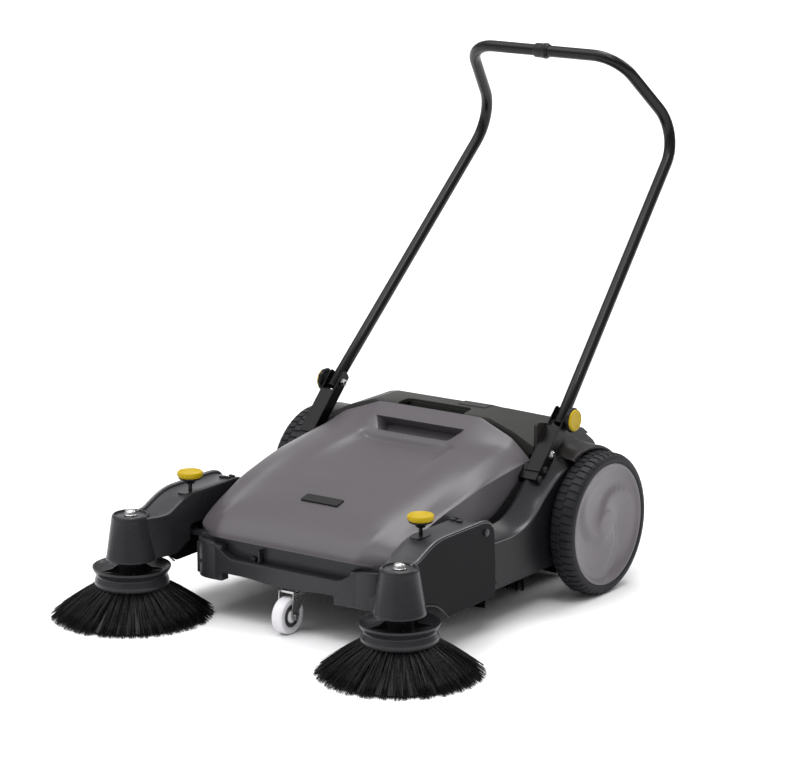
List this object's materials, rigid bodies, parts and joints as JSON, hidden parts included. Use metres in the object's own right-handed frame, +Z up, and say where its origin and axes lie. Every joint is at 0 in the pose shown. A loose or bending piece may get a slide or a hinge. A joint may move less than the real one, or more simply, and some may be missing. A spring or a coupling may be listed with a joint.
{
  "type": "walk behind floor sweeper",
  "caption": "Push floor sweeper with folding U handle, wheel-driven roller brush, side brushes on tilting arms and a lift-out waste container.",
  "frame": {"origin": "middle of the bounding box at floor level, under the hood", "axes": "+Z up, -Y is the front that the machine sweeps towards, +Y is the operator, +X is the operator's left hand"},
  "size_m": [1.005, 1.3161, 1.079],
  "materials": {
    "frame_plastic": "black moulded plastic, fine grain",
    "black_plastic": "black moulded plastic, satin",
    "fender_plastic": "black moulded plastic, satin",
    "seal_rubber": "soft black rubber",
    "hood_plastic": "warm grey moulded plastic, satin",
    "badge_plastic": "plain dark blank",
    "handle_paint": "gloss black powder coat",
    "sleeve_plastic": "grey plastic",
    "zinc_steel": "bright zinc plated",
    "shaft_steel": "ground steel",
    "drive_nylon": "natural nylon",
    "belt_rubber": "round drive belt",
    "yellow_plastic": "yellow plastic",
    "tyre_rubber": "solid rubber tyre",
    "hub_plastic": "grey moulded plastic",
    "bristle_nylon": "black nylon bristles",
    "caster_plastic": "pale grey plastic",
    "container_plastic": "dark grey moulded plastic"
  },
  "bodies": {
    "chassis": {"chassis_frame": "frame_plastic", "front_bumper": "frame_plastic", "roller_tunnel": "frame_plastic", "dirt_flaps": "seal_rubber", "side_seals": "seal_rubber", "side_cover_left": "black_plastic", "side_cover_right": "black_plastic", "fender_left": "fender_plastic", "fender_right": "fender_plastic", "hood": "hood_plastic", "hood_badge": "badge_plastic", "handle_brackets": "handle_paint", "bracket_bolts": "zinc_steel", "stub_axles": "shaft_steel", "roller_bearings": "drive_nylon", "arm_pivot_pins": "zinc_steel", "drive_belts": "belt_rubber", "chassis_screws": "zinc_steel", "caster_plate": "zinc_steel"},
    "handle": {"handle_tube_left": "handle_paint", "handle_tube_right": "handle_paint", "handle_sleeve": "sleeve_plastic", "handle_plugs": "black_plastic"},
    "roller": {"roller_shaft": "shaft_steel", "roller_core": "frame_plastic", "roller_bristles": "bristle_nylon", "pinion_left": "drive_nylon"},
    "idle_pinion": {"pinion_right": "drive_nylon"},
    "caster_fork": {"caster_fork": "zinc_steel", "caster_axle": "zinc_steel"},
    "caster_wheel": {"caster_wheel": "caster_plastic"},
    "container": {"waste_container": "container_plastic"},
    "clamp_left": {"clamp_knob_left": "black_plastic", "clamp_cap_left": "yellow_plastic"},
    "wheel_left": {"tyre_left": "tyre_rubber", "hub_left": "hub_plastic", "drive_ring_left": "drive_nylon"},
    "cross_left": {"cross_pulley_left": "drive_nylon"},
    "arm_left": {"arm_housing_left": "black_plastic", "arm_belt_left": "belt_rubber", "spindle_bolt_left": "zinc_steel"},
    "brush_left": {"brush_pulley_left": "black_plastic", "brush_plate_left": "black_plastic", "brush_bristles_left": "bristle_nylon"},
    "height_left": {"height_knob_left": "yellow_plastic", "height_spindle_left": "black_plastic"},
    "clamp_right": {"clamp_knob_right": "black_plastic", "clamp_cap_right": "yellow_plastic"},
    "wheel_right": {"tyre_right": "tyre_rubber", "hub_right": "hub_plastic", "drive_ring_right": "drive_nylon"},
    "cross_right": {"cross_pulley_right": "drive_nylon"},
    "arm_right": {"arm_housing_right": "black_plastic", "arm_belt_right": "belt_rubber", "spindle_bolt_right": "zinc_steel"},
    "brush_right": {"brush_pulley_right": "black_plastic", "brush_plate_right": "black_plastic", "brush_bristles_right": "bristle_nylon"},
    "height_right": {"height_knob_right": "yellow_plastic", "height_spindle_right": "black_plastic"}
  },
  "joints": [
    {"name": "handle_fold", "type": "hinge", "parent": "chassis", "child": "handle", "pos_m": [0, 0.14841, 0.368], "axis": [1, 0, 0], "range_deg": [0, 120]},
    {"name": "roller_spin", "type": "hinge", "parent": "chassis", "child": "roller", "pos_m": [0, 0.09303, 0.132], "axis": [1, 0, 0], "continuous": true},
    {"name": "idle_pinion_spin", "type": "hinge", "parent": "chassis", "child": "idle_pinion", "pos_m": [-0.343, 0.09303, 0.132], "axis": [1, 0, 0], "continuous": true},
    {"name": "caster_swivel", "type": "hinge", "parent": "chassis", "child": "caster_fork", "pos_m": [0, -0.38159, 0.1], "axis": [0, 0, 1], "continuous": true},
    {"name": "caster_roll", "type": "hinge", "parent": "caster_fork", "child": "caster_wheel", "pos_m": [0, -0.40859, 0.0375], "axis": [1, 0, 0], "continuous": true},
    {"name": "container_lift", "type": "slide", "parent": "chassis", "child": "container", "axis": [0, 0.5, 0.866], "range_m": [0, 0.25]},
    {"name": "clamp_left_turn", "type": "hinge", "parent": "chassis", "child": "clamp_left", "pos_m": [0.31, 0.14841, 0.368], "axis": [1, 0, 0], "continuous": true},
    {"name": "wheel_left_spin", "type": "hinge", "parent": "chassis", "child": "wheel_left", "pos_m": [0.358, 0.18141, 0.149], "axis": [1, 0, 0], "continuous": true},
    {"name": "cross_left_spin", "type": "hinge", "parent": "chassis", "child": "cross_left", "pos_m": [0.3, -0.21059, 0.152], "axis": [1, 0, 0], "continuous": true},
    {"name": "arm_left_tilt", "type": "hinge", "parent": "chassis", "child": "arm_left", "pos_m": [0.308, -0.21059, 0.152], "axis": [-1, 0, 0], "range_deg": [0, 3]},
    {"name": "brush_left_spin", "type": "hinge", "parent": "arm_left", "child": "brush_left", "pos_m": [0.334, -0.48959, 0.1], "axis": [0, 0, 1], "continuous": true},
    {"name": "height_left_turn", "type": "hinge", "parent": "chassis", "child": "height_left", "pos_m": [0.288, -0.35359, 0.2], "axis": [0, 0, 1], "range_deg": [0, 270]},
    {"name": "clamp_right_turn", "type": "hinge", "parent": "chassis", "child": "clamp_right", "pos_m": [-0.31, 0.14841, 0.368], "axis": [1, 0, 0], "continuous": true},
    {"name": "wheel_right_spin", "type": "hinge", "parent": "chassis", "child": "wheel_right", "pos_m": [-0.358, 0.18141, 0.149], "axis": [1, 0, 0], "continuous": true},
    {"name": "cross_right_spin", "type": "hinge", "parent": "chassis", "child": "cross_right", "pos_m": [-0.3, -0.21059, 0.152], "axis": [1, 0, 0], "continuous": true},
    {"name": "arm_right_tilt", "type": "hinge", "parent": "chassis", "child": "arm_right", "pos_m": [-0.308, -0.21059, 0.152], "axis": [-1, 0, 0], "range_deg": [0, 3]},
    {"name": "brush_right_spin", "type": "hinge", "parent": "arm_right", "child": "brush_right", "pos_m": [-0.334, -0.48959, 0.1], "axis": [0, 0, 1], "continuous": true},
    {"name": "height_right_turn", "type": "hinge", "parent": "chassis", "child": "height_right", "pos_m": [-0.288, -0.35359, 0.2], "axis": [0, 0, 1], "range_deg": [0, 270]}
  ],
  "couplings": [
    {"joint": "roller_spin", "follows": "wheel_left_spin", "ratio": 6.1429},
    {"joint": "idle_pinion_spin", "follows": "wheel_right_spin", "ratio": 6.1429},
    {"joint": "cross_left_spin", "follows": "wheel_left_spin", "ratio": 1.6},
    {"joint": "brush_left_spin", "follows": "wheel_left_spin", "ratio": 2},
    {"joint": "height_left_turn", "follows": "arm_left_tilt", "ratio": 90},
    {"joint": "cross_right_spin", "follows": "wheel_right_spin", "ratio": 1.6},
    {"joint": "brush_right_spin", "follows": "wheel_right_spin", "ratio": -2},
    {"joint": "height_right_turn", "follows": "arm_right_tilt", "ratio": 90}
  ]
}
